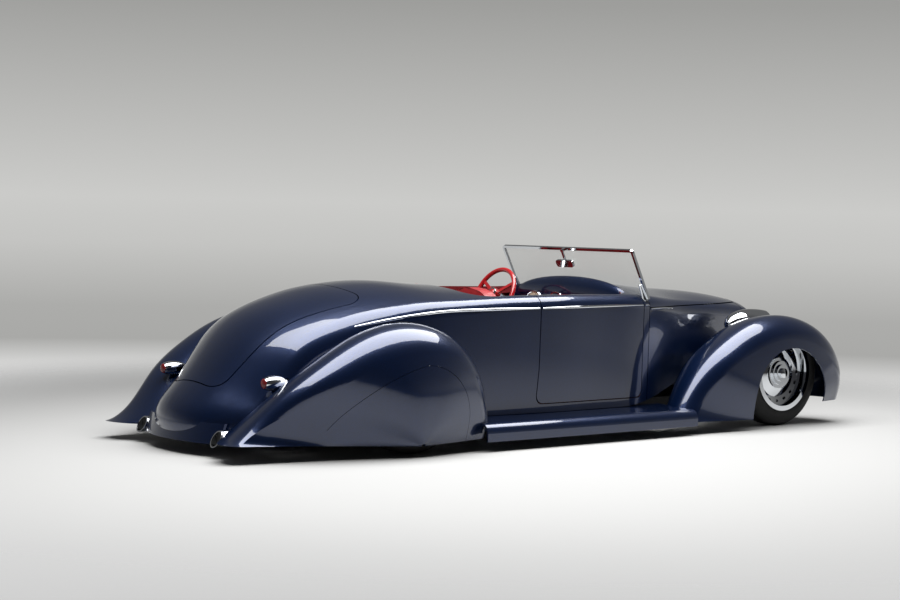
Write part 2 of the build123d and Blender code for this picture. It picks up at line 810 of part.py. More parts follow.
def wheel(track_half, axle_x):
    """A left wheel about its axle, its outer side away from the car."""
    with BuildPart() as made:
        with BuildSketch(Plane.XY) as half_section:
            with BuildLine():
                Polyline(
                    (tyre_bore, -tyre_bead_half), (tyre_bore, lip_seat), (rim_lip_radius, lip_seat),
                    (rim_lip_radius, lip_seat + rim_lip), (tyre_bore - rim_wall, lip_seat + rim_lip),
                    (tyre_bore - rim_wall, face_out), (dish_radius, face_out - dish_depth),
                    (cap_steps[0][0], face_out), cap_steps[0],
                    (cap_steps[1][0], cap_steps[0][1]), cap_steps[1],
                    (cap_steps[2][0], cap_steps[1][1]), cap_steps[2],
                    (cap_steps[3][0], cap_steps[2][1]), cap_steps[3],
                    (0, cap_tip), (0, spindle_room),
                    (spindle_radius + running_clearance, spindle_room),
                    (spindle_radius + running_clearance, 0), (hub_radius, 0),
                    (dish_radius, face_out - dish_depth - web_thick),
                    (tyre_bore - rim_wall, face_out - web_thick), (tyre_bore - rim_wall, -tyre_bead_half),
                    close=True,
                )
            make_face()
        revolve(axis=Axis.Y)
        with BuildSketch(Plane.XZ.offset(-face_out - slot_room)):
            with PolarLocations(slot_radius, wheel_slots):
                SlotOverall(slot_length, slot_width, rotation=90)
        extrude(amount=3 * slot_room, mode=Mode.SUBTRACT)
    return Pos(axle_x, track_half, axle_z) * made.part


def tyre(track_half, axle_x):
    """A plain tyre: tread, two shoulders, two sidewalls and the bore."""
    with BuildPart() as made:
        with BuildSketch(Plane.XY):
            Polygon(
                (tyre_bore, -tyre_bead_half), (tyre_radius - shoulder_drop, -tyre_half_width),
                (tyre_radius, -tread_half_width), (tyre_radius, tread_half_width),
                (tyre_radius - shoulder_drop, tyre_half_width), (tyre_bore, tyre_bead_half), align=None,
            )
        revolve(axis=Axis.Y)
    return Pos(axle_x, track_half, axle_z) * made.part


axles = (("front", front_track_half, front_axle_x), ("rear", rear_track_half, rear_axle_x))
for place, track, axle_x in axles:
    save_pair(wheel(track, axle_x), f"wheel_{place}")
    save_pair(tyre(track, axle_x), f"tyre_{place}")

# Windshield: a raked flat pane in a slim frame standing on the cowl
screen_foot_x = 682.0
screen_foot_z = 800.0
screen_rake = 26.8
screen_height = 310.0
screen_half = 590.0
screen_bar = 16.0
frame_thick = 16.0
glass_thick = 6.0
glass_tuck = 30.0
frame_tuck = 120.0
screen_corner = 24.0
screen_plane = radial_plane(screen_foot_x, screen_foot_z, 90 + screen_rake)
with BuildPart() as windshield_frame:
    with BuildSketch(screen_plane) as outline:
        with Locations((0, (screen_height - frame_tuck) / 2)):
            Rectangle(2 * screen_half, screen_height + frame_tuck)
        fillet(outline.vertices().group_by(Axis.Y)[-1], screen_corner)
        with Locations((0, (screen_height - frame_tuck) / 2 - screen_bar)):
            Rectangle(2 * (screen_half - screen_bar), screen_height + frame_tuck, mode=Mode.SUBTRACT)
    extrude(amount=frame_thick / 2, both=True)
    add(body_outer, mode=Mode.SUBTRACT)
save(windshield_frame.part, "windshield_frame")

with BuildPart() as windshield_glass:
    with BuildSketch(screen_plane):
        with Locations((0, (screen_height - screen_bar - glass_tuck) / 2)):
            Rectangle(2 * (screen_half - screen_bar), screen_height - screen_bar + glass_tuck)
    extrude(amount=glass_thick / 2, both=True)
    add(body_outer, mode=Mode.SUBTRACT)
save(windshield_glass.part, "windshield_glass")

# Mirror: a clip behind the frame's top bar, a drop link and a rounded glass
clip_width = 24.0
clip_height = 14.0
clip_depth = 26.0
link_width = 16.0
link_length = 90.0
link_thick = 8.0
mirror_width = 150.0
mirror_height = 46.0
mirror_corner = 18.0
mirror_thick = 14.0
mirror_lap = 2.0
link_face = frame_thick / 2 + clip_depth - link_thick
with BuildPart() as mirror_piece:
    with BuildSketch(screen_plane.offset(-frame_thick / 2)):
        with Locations((0, screen_height - screen_bar / 2)):
            Rectangle(clip_width, clip_height)
    extrude(amount=-clip_depth)
    with BuildSketch(screen_plane.offset(-link_face)):
        with Locations((0, screen_height - link_length / 2)):
            Rectangle(link_width, link_length)
    extrude(amount=-link_thick)
    with BuildSketch(screen_plane.offset(-link_face - link_thick + mirror_lap)) as glass_face:
        with Locations((0, screen_height - link_length)):
            Rectangle(mirror_width, mirror_height)
        fillet(glass_face.vertices(), mirror_corner)
    extrude(amount=-mirror_thick)
save(mirror_piece.part, "mirror")

# Dashboard panel across the cowl, and the steering column through it
dash_x = cockpit_front_x - 10.0
dash_half = 540.0
dash_thick = 28.0
dash_bottom_z = 590.0
wheel_x = 266.0
wheel_y = 330.0
wheel_z = 779.0
column_tilt = 25.0
column_radius = 24.0
shaft_radius = 10.0
column_gap = 6.0
wheel_rim_radius = 165.0
wheel_grip = 14.0
wheel_hub = 36.0
hub_depth = 40.0
shaft_length = 75.0
shaft_room = 5.0
spokes = 3
spoke_width = 20.0
spoke_half = 5.0
column_line = Vector(cos(radians(column_tilt)), 0, -sin(radians(column_tilt)))
wheel_centre = Vector(wheel_x, wheel_y, wheel_z)
column_start = wheel_centre + column_line * (hub_depth / 2 + column_gap)
column_end = wheel_centre + column_line * ((hood_rear_x - wheel_x) / cos(radians(column_tilt)))

with BuildPart() as dashboard:
    add(block((dash_x, dash_x + dash_thick), (-dash_half, dash_half), (dash_bottom_z, reach)))
    add(body_inner, mode=Mode.INTERSECT)
    add(bar(wheel_centre, column_end, column_radius + running_clearance), mode=Mode.SUBTRACT)
save(dashboard.part, "dashboard")

with BuildPart() as steering_column:
    add(bar(column_start, column_end, column_radius))
    socket_end = column_start + column_line * (shaft_length + shaft_room)
    add(bar(wheel_centre, socket_end, shaft_radius + hinge_play), mode=Mode.SUBTRACT)
    add(block((hood_rear_x - plate, reach), (0, reach), (0, reach)), mode=Mode.SUBTRACT)
save(steering_column.part, "steering_column")

with BuildPart() as steering_wheel:
    spoke_plane = Plane(origin=wheel_centre, x_dir=(0, 1, 0), z_dir=column_line)
    with BuildSketch(spoke_plane):
        Circle(wheel_hub)
    extrude(amount=hub_depth / 2, both=True)
    rim_line = (sin(radians(column_tilt)), 0, cos(radians(column_tilt)))
    with BuildSketch(Plane(origin=wheel_centre, x_dir=rim_line, z_dir=(0, 1, 0))):
        with Locations((wheel_rim_radius, 0)):
            Circle(wheel_grip)
    revolve(axis=Axis(wheel_centre, column_line))
    with BuildSketch(spoke_plane):
        with PolarLocations(wheel_rim_radius / 2, spokes, start_angle=-90):
            Rectangle(wheel_rim_radius, spoke_width)
    extrude(amount=spoke_half, both=True)
    add(bar(wheel_centre, column_start + column_line * shaft_length, shaft_radius))
save(steering_wheel.part, "steering_wheel")

# Seats: a bench cushion on the floor and a back with two rounded tops
seat_front_x = 40.0
seat_rear_x = bulkhead_x + plate
back_rear_x = seat_rear_x + 165.0
seat_half = 520.0
seat_top_z = 415.0
back_top_z = 866.0
back_waist_z = 745.0
back_foot = 150.0
back_half = 500.0
hump_half = 215.0
back_top = 95.0
cushion_roll = 60.0
seat_bottom_z = floor_z + body_wall + floor_play
with BuildPart() as seat_cushion:
    add(block((seat_rear_x, seat_front_x), (-seat_half, seat_half), (seat_bottom_z, seat_top_z)))
    front_edge = seat_cushion.edges().filter_by(Axis.Y).sort_by_distance((seat_front_x, 0, seat_top_z))[0]
    fillet(front_edge, cushion_roll)
save(seat_cushion.part, "seat_cushion")

with BuildPart() as seat_back:
    with BuildSketch(Plane.YZ.offset(back_rear_x)):
        with Locations((0, (seat_top_z + back_waist_z) / 2)):
            Rectangle(2 * back_half, back_waist_z - seat_top_z)
        hump_y = back_half - hump_half
        with Locations((-hump_y, back_waist_z), (hump_y, back_waist_z)):
            Ellipse(hump_half, back_top_z - back_waist_z)
    extrude(amount=back_foot)
    with BuildSketch(Plane.XZ.offset(-seat_half)):
        Polygon(
            (back_rear_x + back_foot, seat_top_z), (back_rear_x + back_foot, reach),
            (back_rear_x + back_top, reach), (back_rear_x + back_top, back_top_z), align=None,
        )
    extrude(amount=2 * seat_half, mode=Mode.SUBTRACT)
save(seat_back.part, "seat_back")


# Lamps: turned bullets lying along the car, trimmed to the sheet that they stand on
waist_share = 0.36
lens_lift = 4.0


def bullet(length, radius, lens_radius, lens_length):
    """A teardrop casing with its lens at the origin, facing +X."""
    waist = waist_share * length
    mouth = degrees(asin(lens_radius / radius))
    nose = waist / cos(radians(mouth))
    with BuildPart() as casing_piece:
        with BuildSketch(Plane.XY):
            with BuildLine():
                Polyline((0, lens_radius), (0, 0), (-length, 0))
                EllipticalCenterArc((-waist, 0), nose, radius, start_angle=mouth, arc_size=90 - mouth)
                EllipticalCenterArc((-waist, 0), length - waist, radius, start_angle=90, arc_size=90)
            make_face()
        revolve(axis=Axis.X)
    with BuildPart() as lens_piece:
        with BuildSketch(Plane.XY):
            with BuildLine():
                Polyline((0, lens_radius), (0, 0), (lens_length, 0))
                EllipticalCenterArc((0, 0), lens_length, lens_radius, start_angle=0, arc_size=90)
            make_face()
        revolve(axis=Axis.X)
    return casing_piece.part, lens_piece.part


# Columns: name, lens place, turn about the vertical, length, radius, lens radius, lens length,
# lean of the lens's cut edge or None, sheets under it
lamp_table = (
    ("headlamp", (1800.0, 490.0, 618.0), 0, 330.0, 92.0, 84.0, 24.0, 27.0, [front_outer]),
    ("taillamp", (-1938.0, 511.0, 381.0), 180, 150.0, 38.0, 26.0, 12.0, None, [rear_outer, body_outer]),
)
for name, place, turn, length, radius, lens_radius, lens_length, lean, sheets in lamp_table:
    casing, lens = bullet(length, radius, lens_radius, lens_length)
    with BuildPart() as lamp_casing:
        add(Pos(*place) * Rot(0, 0, turn) * casing)
        add(sheets, mode=Mode.SUBTRACT)
    save_pair(lamp_casing.part, name)
    with BuildPart() as lamp_lens:
        add(Pos(*place) * Rot(0, 0, turn) * lens)
        if lean is not None:
            edge = Vector(0, -sin(radians(lean)), cos(radians(lean)))
            split(bisect_by=Plane(origin=Vector(*place) + edge * lens_lift, z_dir=edge), keep=Keep.TOP)
    save_pair(lamp_lens.part, f"{name}_lens")
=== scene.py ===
import bpy
import json
from math import cos, pi, radians, sin
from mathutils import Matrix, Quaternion, Vector


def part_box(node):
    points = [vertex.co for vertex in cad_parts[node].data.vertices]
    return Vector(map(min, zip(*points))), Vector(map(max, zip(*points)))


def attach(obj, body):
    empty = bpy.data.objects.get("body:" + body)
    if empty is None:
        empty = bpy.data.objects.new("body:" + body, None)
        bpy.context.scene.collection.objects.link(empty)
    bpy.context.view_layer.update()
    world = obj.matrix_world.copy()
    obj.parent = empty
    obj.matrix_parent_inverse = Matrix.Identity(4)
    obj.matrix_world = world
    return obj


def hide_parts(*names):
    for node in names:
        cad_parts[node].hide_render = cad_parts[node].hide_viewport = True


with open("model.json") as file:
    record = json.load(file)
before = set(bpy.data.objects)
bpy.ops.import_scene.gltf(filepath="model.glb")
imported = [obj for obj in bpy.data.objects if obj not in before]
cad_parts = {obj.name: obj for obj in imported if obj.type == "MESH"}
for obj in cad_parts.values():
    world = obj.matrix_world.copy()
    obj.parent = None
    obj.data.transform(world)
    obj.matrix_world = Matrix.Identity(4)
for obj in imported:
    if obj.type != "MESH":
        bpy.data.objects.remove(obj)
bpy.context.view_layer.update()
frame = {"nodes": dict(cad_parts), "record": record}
nodes = frame["nodes"]
scene = bpy.context.scene
scene.view_settings.view_transform = "Standard"
sides = {"left": 1, "right": -1}  # which way each side lies along Y
print("frame loaded:", len(nodes), "nodes")

# camera, where the photograph was taken from
shot = {
    "place": (-6.8113, -8.1297, 1.2188),
    "yaw": 51.5,  # degrees from +X towards +Y
    "pitch": 2.51,  # downwards
    "roll": 1.24,  # the picture leans clockwise
    "lens": 71.6,  # mm
    "sensor": 36.0,  # mm
    "farthest": 200.0,
}


def addCamera():
    yaw, pitch = radians(shot["yaw"]), radians(shot["pitch"])
    look = Vector((cos(pitch) * cos(yaw), cos(pitch) * sin(yaw), -sin(pitch)))
    upright = look.to_track_quat("-Z", "Y")
    bpy.ops.object.camera_add(location=shot["place"])
    camera = bpy.context.object
    camera.rotation_mode = "QUATERNION"
    camera.rotation_quaternion = upright @ Quaternion((0, 0, 1), radians(shot["roll"]))
    camera.data.sensor_width = shot["sensor"]
    camera.data.lens = shot["lens"]
    camera.data.clip_end = shot["farthest"]
    camera.data.dof.use_dof = False
    scene.camera = camera


addCamera()
print("camera set")


# small helpers for materials
def hexColour(code):
    parts = [int(code[i:i + 2], 16) / 255 for i in (1, 3, 5)]
    return tuple(c / 12.92 if c <= 0.04045 else ((c + 0.055) / 1.055) ** 2.4 for c in parts) + (1.0,)


def addNode(tree, kind, inputs=None, **settings):
    node = tree.nodes.new(kind)
    for name, value in settings.items():
        setattr(node, name, value)
    for name, value in (inputs or {}).items():
        if isinstance(value, bpy.types.NodeSocket):
            tree.links.new(value, node.inputs[name])
        else:
            node.inputs[name].default_value = value
    return node


def newMaterial(name, **inputs):
    material = bpy.data.materials.new(name)
    material.use_nodes = True
    tree = material.node_tree
    shader = tree.nodes["Principled BSDF"]
    for label, value in inputs.items():
        shader.inputs[label.replace("_", " ")].default_value = value
    place = addNode(tree, "ShaderNodeTexCoord").outputs["Object"]
    return material, tree, shader, place


def combine(tree, operation, first, second):
    return addNode(tree, "ShaderNodeMath", {0: first, 1: second}, operation=operation).outputs[0]


def blend(tree, share, first, second):
    inputs = {"Factor": share, 6: first, 7: second}
    return addNode(tree, "ShaderNodeMix", inputs, data_type="RGBA").outputs[2]


def spread(tree, value, low, high):
    inputs = {"Value": value, "To Min": low, "To Max": high}
    return addNode(tree, "ShaderNodeMapRange", inputs).outputs[0]


def patches(tree, place, sizeMm, detail):
    inputs = {"Vector": place, "Scale": 1000 / sizeMm, "Detail": detail}
    return addNode(tree, "ShaderNodeTexNoise", inputs).outputs["Fac"]


def cells(tree, place, sizeMm):
    return addNode(tree, "ShaderNodeTexVoronoi", {"Vector": place, "Scale": 1000 / sizeMm}).outputs


def dress(piece, material):
    piece.data.materials.clear()
    piece.data.materials.append(material)
    for face in piece.data.polygons:
        face.material_index = 0


# body enamel: blue metallic base under a polished clear coat, so long sharp highlights over deep colour
enamel = {
    "deep": "#020917", "flake": "#0B316C",
    "flakeMm": 1.1,  # real flake is finer than a pixel, so it is drawn as coarse as it needs to show
    "flakeShare": 0.45, "cloudMm": 260.0, "cloudDetail": 2.0, "cloudShare": 0.12,
    "metal": 0.6, "rough": 0.28, "coatRough": 0.02, "coatIor": 1.52,
}


def makeEnamel(name):
    material, tree, shader, place = newMaterial(
        name, Metallic=enamel["metal"], Roughness=enamel["rough"],
        Coat_Weight=1.0, Coat_Roughness=enamel["coatRough"], Coat_IOR=enamel["coatIor"],
    )
    flake = cells(tree, place, enamel["flakeMm"])["Color"]
    cloud = patches(tree, place, enamel["cloudMm"], enamel["cloudDetail"])
    glint = combine(tree, "MULTIPLY", flake, enamel["flakeShare"])
    drift = combine(tree, "MULTIPLY", cloud, enamel["cloudShare"])
    share = combine(tree, "ADD", glint, drift)
    colour = blend(tree, share, hexColour(enamel["deep"]), hexColour(enamel["flake"]))
    tree.links.new(colour, shader.inputs["Base Color"])
    return material


# cabin side of the body and doors: leather on the panels, carpet on the floor, enamel everywhere else
trim = {
    "leather": ("#7C0F16", "#5A090F"), "carpet": "#2A0709", "grainMm": 4.0, "rough": 0.5,
    "rearX": -0.63, "frontX": 0.69, "carpetTop": 0.3,
    "level": 0.6,  # a face whose normal rises more than this is floor
    "inward": -0.15,  # a face whose Y times its normal's Y is under this looks into the cabin
}


def makeTrimmedEnamel(name):
    material = makeEnamel(name)
    tree = material.node_tree
    shader = tree.nodes["Principled BSDF"]
    paint = shader.inputs["Base Color"].links[0].from_socket
    place = addNode(tree, "ShaderNodeTexCoord").outputs["Object"]
    normal = addNode(tree, "ShaderNodeNewGeometry").outputs["Normal"]
    spot = addNode(tree, "ShaderNodeSeparateXYZ", {0: place}).outputs
    facing = addNode(tree, "ShaderNodeSeparateXYZ", {0: normal}).outputs
    sideways = combine(tree, "MULTIPLY", spot["Y"], facing["Y"])
    inward = combine(tree, "LESS_THAN", sideways, trim["inward"])
    level = combine(tree, "GREATER_THAN", facing["Z"], trim["level"])
    low = combine(tree, "LESS_THAN", spot["Z"], trim["carpetTop"])
    carpet = combine(tree, "MULTIPLY", level, low)
    fromRear = combine(tree, "GREATER_THAN", spot["X"], trim["rearX"])
    toFront = combine(tree, "LESS_THAN", spot["X"], trim["frontX"])
    room = combine(tree, "MULTIPLY", fromRear, toFront)
    either = combine(tree, "MAXIMUM", inward, carpet)
    lined = combine(tree, "MULTIPLY", either, room)
    bare = combine(tree, "SUBTRACT", 1.0, lined)
    grain = cells(tree, place, trim["grainMm"])["Distance"]
    leather = blend(tree, grain, *map(hexColour, trim["leather"]))
    lining = blend(tree, carpet, leather, hexColour(trim["carpet"]))
    for label, socket in (
        ("Base Color", blend(tree, lined, paint, lining)),
        ("Metallic", combine(tree, "MULTIPLY", bare, enamel["metal"])),
        ("Roughness", spread(tree, lined, enamel["rough"], trim["rough"])),
        ("Coat Weight", bare),
    ):
        tree.links.new(socket, shader.inputs[label])
    return material


# chrome: polished plating with faint wipe marks in its gloss
plating = {"colour": "#D9DCE0", "wipeMm": 35.0, "detail": 4.0, "rough": (0.03, 0.09)}


def makeChrome():
    material, tree, shader, place = newMaterial(
        "polishedChrome", Metallic=1.0, Base_Color=hexColour(plating["colour"])
    )
    wipe = patches(tree, place, plating["wipeMm"], plating["detail"])
    tree.links.new(spread(tree, wipe, *plating["rough"]), shader.inputs["Roughness"])
    return material


# glass: thin panes with a faint film; clear is the share of light that goes straight through
glazing = {"ior": 1.45, "filmMm": 90.0, "detail": 3.0, "smear": 0.03}


def makeGlass(name, colour, clear, rough):
    material, tree, shader, place = newMaterial(
        name, Base_Color=hexColour(colour), IOR=glazing["ior"], Alpha=1 - clear
    )
    film = patches(tree, place, glazing["filmMm"], glazing["detail"])
    tree.links.new(spread(tree, film, rough, rough + glazing["smear"]), shader.inputs["Roughness"])
    return material


# surfaces of two tones in soft patches, some with a fine relief
def makeMottled(name, tones, patchMm, detail, **inputs):
    material, tree, shader, place = newMaterial(name, **inputs)
    share = patches(tree, place, patchMm, detail)
    tree.links.new(blend(tree, share, *map(hexColour, tones)), shader.inputs["Base Color"])
    return material


def addRelief(material, texture, output, grainMm, strength, depth):
    tree = material.node_tree
    place = addNode(tree, "ShaderNodeTexCoord").outputs["Object"]
    height = addNode(tree, texture, {"Vector": place, "Scale": 1000 / grainMm}).outputs[output]
    bump = addNode(tree, "ShaderNodeBump", {"Height": height, "Strength": strength, "Distance": depth})
    tree.links.new(bump.outputs[0], tree.nodes["Principled BSDF"].inputs["Normal"])


paintOuter = makeEnamel("metallicEnamel")
paintCabin = makeTrimmedEnamel("metallicEnamelAndTrim")
chrome = makeChrome()
clearGlass = makeGlass("clearGlass", "#C6CECC", clear=0.90, rough=0.0)
redGlass = makeGlass("redLensGlass", "#6A1C1E", clear=0.0, rough=0.12)
# moulded black rubber, dull, with dusty patches and fine pores
rubber = makeMottled("mouldedRubber", ("#0C0C0D", "#242425"), patchMm=60.0, detail=6.0, Roughness=0.75)
addRelief(rubber, "ShaderNodeTexNoise", "Fac", grainMm=3.0, strength=0.15, depth=0.0006)
# red leather, pebbled, with a soft sheen
hide = makeMottled(
    "redLeather", ("#A01A20", "#7A0E14"), patchMm=120.0, detail=4.0,
    Roughness=0.45, Coat_Weight=0.15, Coat_Roughness=0.3,
)
addRelief(hide, "ShaderNodeTexVoronoi", "Distance", grainMm=3.5, strength=0.25, depth=0.0008)
# chassis black, sprayed satin over cast and rolled steel
steel = makeMottled(
    "satinBlackSteel", ("#121315", "#2A2B2E"), patchMm=18.0, detail=5.0, Metallic=0.3, Roughness=0.5
)
# glossy red enamel of the steering wheel's rim
redRim = makeMottled(
    "redEnamelRim", ("#B01E22", "#8E1418"), patchMm=40.0, detail=3.0,
    Roughness=0.25, Coat_Weight=0.8, Coat_Roughness=0.08,
)
# ivory lacquer on the gauge dials
ivory = makeMottled(
    "ivoryDial", ("#E9DFC6", "#DDD0B2"), patchMm=30.0, detail=3.0,
    Roughness=0.4, Coat_Weight=0.2, Coat_Roughness=0.08,
)
# flat black paint of ticks and needles
blackPaint = makeMottled("blackDialPaint", ("#141414", "#0C0C0C"), patchMm=10.0, detail=3.0, Roughness=0.5)
# near-black and dull: painted shade of the deep bore inside the exhaust tips, together with their dry soot
boreShadeAndSoot = makeMottled("exhaustBoreShadeAndSoot", ("#0A0A0A", "#040404"), patchMm=8.0, detail=3.0, Roughness=0.9)
print("materials made")

# finishes of the CAD pieces that stay as they are
finishes = {
    "paint": paintOuter, "chrome": chrome, "tyre": rubber, "clear_glass": clearGlass, "red_glass": redGlass,
    "leather": hide, "red_rim": redRim, "steel": steel,
}
slotOf = {entry["node"]: entry["material_slot"] for entry in frame["record"]["subparts"]}
for name, node in nodes.items():
    dress(node, finishes[slotOf[name]])
for name in ("body_shell", "door_left", "door_right"):
    dress(nodes[name], paintCabin)
print("CAD pieces dressed")


# helpers for modelling
def freeSelection():
    if bpy.context.mode != "OBJECT":
        bpy.ops.object.mode_set(mode="OBJECT")
    bpy.ops.object.select_all(action="DESELECT")


def choose(piece):
    freeSelection()
    piece.select_set(True)
    bpy.context.view_layer.objects.active = piece


def copyNode(nodeName, name):
    piece = bpy.data.objects.new(name, nodes[nodeName].data.copy())
    scene.collection.objects.link(piece)
    choose(piece)
    return piece


def settle(piece, name, body, material):
    choose(piece)
    bpy.ops.object.transform_apply(location=True, rotation=True, scale=True)
    piece.name = name
    dress(piece, material)
    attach(piece, body)


weld = 1e-5  # points closer than this are one


def lathe(name, profile, segments):
    # rings drawn out one after another along Z, as on a lathe: (radius, height)
    freeSelection()
    bpy.ops.mesh.primitive_circle_add(vertices=segments, radius=profile[0][0], location=(0, 0, 0))
    piece = bpy.context.object
    bpy.ops.object.mode_set(mode="EDIT")
    bpy.ops.mesh.select_all(action="SELECT")
    bpy.ops.transform.translate(value=(0, 0, profile[0][1]))
    for (r0, h0), (r1, h1) in zip(profile, profile[1:]):
        bpy.ops.mesh.extrude_region_move(TRANSFORM_OT_translate={"value": (0, 0, h1 - h0)})
        if r1 != r0:
            bpy.ops.transform.resize(value=(r1 / r0, r1 / r0, 1), center_override=(0, 0, h1))
    bpy.ops.mesh.select_all(action="SELECT")
    bpy.ops.mesh.remove_doubles(threshold=weld)
    bpy.ops.mesh.normals_make_consistent(inside=False)
    bpy.ops.object.mode_set(mode="OBJECT")
    piece.name = name
    return piece


def smooth(piece, angle):
    choose(piece)
    bpy.ops.object.shade_smooth_by_angle(angle=radians(angle))


# tyres: ribbed tread, raised sidewall bands
tyreSize = {
    "radius": 0.325, "halfWidth": 0.085, "bore": 0.2125, "beadHalf": 0.0735, "groove": 0.007,
    "segments": 128, "crease": 40,
    "places": {"front": (1.7025, 0.680), "rear": (-1.1425, 0.672)},  # X and half the track
}


def tyreProfile():
    outer, half, bore, bead = (tyreSize[key] for key in ("radius", "halfWidth", "bore", "beadHalf"))
    floor = outer - tyreSize["groove"]
    one = [  # half the section, from the bead out to the middle of the tread
        (bore, bead - 0.004), (bore + 0.006, bead + 0.003), (bore + 0.012, bead + 0.005),
        (bore + 0.020, bead + 0.0065), (bore + 0.024, bead + 0.0095), (bore + 0.040, half - 0.0010),
        (bore + 0.043, half), (bore + 0.062, half), (bore + 0.065, half - 0.0015),
        (outer - 0.030, half - 0.0045), (outer - 0.018, half - 0.012), (outer - 0.008, half - 0.022),
        (outer - 0.002, 0.053), (outer - 0.0006, 0.047), (floor, 0.0455), (floor, 0.0415),
        (outer - 0.0004, 0.040), (outer - 0.0001, 0.018), (floor, 0.0165), (floor, 0.0125),
        (outer, 0.011),
    ]
    return one + [(r, -h) for r, h in reversed(one)]


def makeTyre(place, side):
    x, y = tyreSize["places"][place]
    piece = lathe(f"tyre_{place}_{side}_dressed", tyreProfile(), tyreSize["segments"])
    smooth(piece, tyreSize["crease"])
    piece.rotation_euler = (pi / 2, 0, 0)
    piece.location = (x, sides[side] * y, tyreSize["radius"])
    settle(piece, piece.name, f"wheel_{place}_{side}", rubber)
    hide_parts(f"tyre_{place}_{side}")


for place in tyreSize["places"]:
    for side in sides:
        makeTyre(place, side)
print("tyres made")

# belt spear: a half-round chrome bead laid on the body's side, split at the panel gaps
spear = {
    "bead": 0.0085, "endShare": 0.55, "order": 3, "steps": 8, "roundness": 4, "startY": 2.0,
    "runs": {  # name: (body, node under it, points as X and Z); the sided ones get the side's name
        "spear_rear": ("chassis", "body_shell", (
            (-1.405, 0.660), (-1.30, 0.680), (-1.095, 0.713), (-0.86, 0.738), (-0.60, 0.743), (-0.40, 0.745),
            (-0.215, 0.746),
        )),
        "spear_door": ("door", "door", (
            (-0.193, 0.746), (0.0, 0.748), (0.236, 0.751), (0.45, 0.752), (0.634, 0.752),
        )),
        "spear_cowl": ("chassis", "body_shell", ((0.656, 0.752), (0.68, 0.7515), (0.694, 0.751))),
        "spear_hood": ("chassis", "hood_side", (
            (0.716, 0.728), (0.80, 0.728), (0.90, 0.727), (0.985, 0.724),
        )),
    },
}


def findSpots(under, points, side):
    node = nodes.get(under) or nodes[f"{under}_{side}"]
    spots = []
    for x, z in points:
        hit, where = node.ray_cast((x, sides[side] * spear["startY"], z), (0, -sides[side], 0))[:2]
        if hit:
            spots.append(where)
    return spots


def layBead(name, body, under, points, side):
    spots = findSpots(under, points, side)
    if len(spots) < 2:
        print("no surface under", name, side)
        return
    freeSelection()
    bpy.ops.curve.primitive_nurbs_path_add(location=(0, 0, 0))
    curve = bpy.context.object
    curve.data.splines.clear()
    line = curve.data.splines.new("NURBS")
    line.points.add(len(spots) - 1)
    for point, spot in zip(line.points, spots):
        point.co = (*spot, 1.0)
    line.order_u = spear["order"]
    line.use_endpoint_u = True
    line.resolution_u = spear["steps"]
    line.points[0].radius = line.points[-1].radius = spear["endShare"]
    curve.data.bevel_depth = spear["bead"]
    curve.data.bevel_resolution = spear["roundness"]
    curve.data.use_fill_caps = True
    choose(curve)
    bpy.ops.object.convert(target="MESH")
    bpy.ops.object.shade_smooth()
    rider = body if body == "chassis" else f"{body}_{side}"
    settle(bpy.context.object, f"{name}_{side}", rider, chrome)


for name, (body, under, points) in spear["runs"].items():
    for side in sides:
        layBead(name, body, under, points, side)
print("belt spear laid")

# dash top: a long roll in body colour over the dash panel, behind the windshield
dashRoll = {"centre": (0.570, -0.030, 0.795), "half": (0.055, 0.490, 0.108), "segments": 96, "rings": 48}


def makeDashRoll():
    freeSelection()
    bpy.ops.mesh.primitive_uv_sphere_add(
        segments=dashRoll["segments"], ring_count=dashRoll["rings"], radius=1.0
    )
    piece = bpy.context.object
    piece.scale = dashRoll["half"]
    piece.location = dashRoll["centre"]
    bpy.ops.object.shade_smooth()
    settle(piece, "dash_roll", "chassis", paintOuter)


makeDashRoll()
print("dash roll made")

# gauges on the dash: chrome rims, ivory dials, needles and ticks
gauges = {
    "x": 0.522, "z": 0.723, "places": (0.245, 0.040),  # Y of the two
    "radius": 0.082, "depth": 0.036, "segments": 64, "rimCrease": 50, "dialCrease": 60,
    "ticks": 12, "tickFrom": -130, "tickSweep": 260,  # degrees
    "tickWidth": 0.0016, "tickThick": 0.0012, "tickBevel": 0.0003, "tickHeight": 0.0042,
    "tickAt": 0.74, "tickLength": 0.13,  # shares of the radius
    "needleRoot": 0.0028, "needleTip": 0.0006, "needleSides": 12, "needleHeight": 0.0050, "needleTurn": 35,
    "needleLength": 0.72, "needleMiddle": (-0.18, 0.26),  # shares of the radius
}


def makeTick(turn):
    r = gauges["radius"]
    out = r * gauges["tickAt"]
    freeSelection()
    bpy.ops.mesh.primitive_cube_add(
        size=1, location=(sin(turn) * out, cos(turn) * out, gauges["tickHeight"])
    )
    tick = bpy.context.object
    tick.scale = (gauges["tickWidth"], r * gauges["tickLength"], gauges["tickThick"])
    tick.rotation_euler = (0, 0, -turn)
    bpy.ops.object.modifier_add(type="BEVEL")
    tick.modifiers[-1].width = gauges["tickBevel"]
    bpy.ops.object.modifier_apply(modifier=tick.modifiers[-1].name)
    return tick


def makeNeedle():
    r = gauges["radius"]
    x, y = gauges["needleMiddle"]
    freeSelection()
    bpy.ops.mesh.primitive_cone_add(
        radius1=gauges["needleRoot"], radius2=gauges["needleTip"], depth=r * gauges["needleLength"],
        vertices=gauges["needleSides"], location=(r * x, r * y, gauges["needleHeight"]),
    )
    needle = bpy.context.object
    needle.rotation_euler = (-pi / 2, 0, radians(gauges["needleTurn"]))
    return needle


def makeMarks():
    step = gauges["tickSweep"] / (gauges["ticks"] - 1)
    marks = [makeTick(radians(gauges["tickFrom"] + step * k)) for k in range(gauges["ticks"])]
    marks.append(makeNeedle())
    freeSelection()
    for mark in marks:
        mark.select_set(True)
    bpy.context.view_layer.objects.active = marks[0]
    bpy.ops.object.transform_apply(location=True, rotation=True, scale=True)
    bpy.ops.object.join()
    return bpy.context.object


